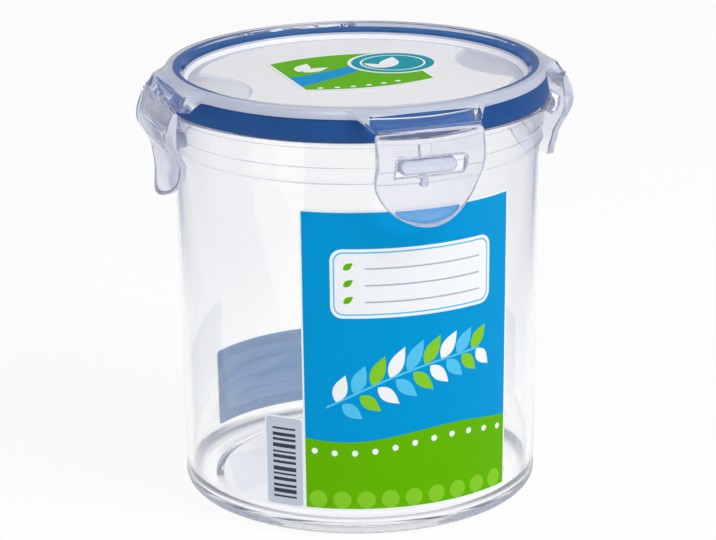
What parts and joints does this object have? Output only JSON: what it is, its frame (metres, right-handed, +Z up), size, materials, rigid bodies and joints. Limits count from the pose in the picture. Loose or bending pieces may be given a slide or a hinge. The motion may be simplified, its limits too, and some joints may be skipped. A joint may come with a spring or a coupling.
{
  "type": "airtight food storage container",
  "caption": "Round clear canister with a slightly tapered body, a recessed clip-on lid, a silicone seal and hinged latch flaps whose slots catch on lugs under the rim.",
  "frame": {"origin": "centre of the base, on the surface that the container stands on", "axes": "+Z up along the canister's axis, -Y towards the front flap, +X towards the right flap"},
  "size_m": [0.1164, 0.1164, 0.1189],
  "materials": {
    "container_plastic": "polished clear",
    "lid_plastic": "slightly hazy clear",
    "silicone": "smooth satin",
    "front_label_film": "printed, semi-gloss",
    "rear_label_film": "printed, semi-gloss",
    "lid_label_film": "printed, semi-gloss"
  },
  "bodies": {
    "container_body": {"container": "container_plastic", "front_label": "front_label_film", "rear_label": "rear_label_film"},
    "lid_body": {"lid": "lid_plastic", "seal_ring": "silicone", "hinge_film_front": "lid_plastic", "hinge_film_right": "lid_plastic", "hinge_film_rear": "lid_plastic", "hinge_film_left": "lid_plastic", "lid_label": "lid_label_film"},
    "front_flap": {"flap_front": "lid_plastic"},
    "right_flap": {"flap_right": "lid_plastic"},
    "rear_flap": {"flap_rear": "lid_plastic"},
    "left_flap": {"flap_left": "lid_plastic"}
  },
  "joints": [
    {"name": "lid_lift", "type": "slide", "parent": "container_body", "child": "lid_body", "axis": [0, 0, 1], "range_m": [0, 0.00025]},
    {"name": "front_flap_hinge", "type": "hinge", "parent": "lid_body", "child": "front_flap", "pos_m": [0, -0.0555, 0.1139], "axis": [-1, 0, 0], "range_deg": [0, 120]},
    {"name": "right_flap_hinge", "type": "hinge", "parent": "lid_body", "child": "right_flap", "pos_m": [0.0555, 0, 0.1139], "axis": [0, -1, 0], "range_deg": [0, 120]},
    {"name": "rear_flap_hinge", "type": "hinge", "parent": "lid_body", "child": "rear_flap", "pos_m": [0, 0.0555, 0.1139], "axis": [1, 0, 0], "range_deg": [0, 120]},
    {"name": "left_flap_hinge", "type": "hinge", "parent": "lid_body", "child": "left_flap", "pos_m": [-0.0555, 0, 0.1139], "axis": [0, 1, 0], "range_deg": [0, 120]}
  ]
}
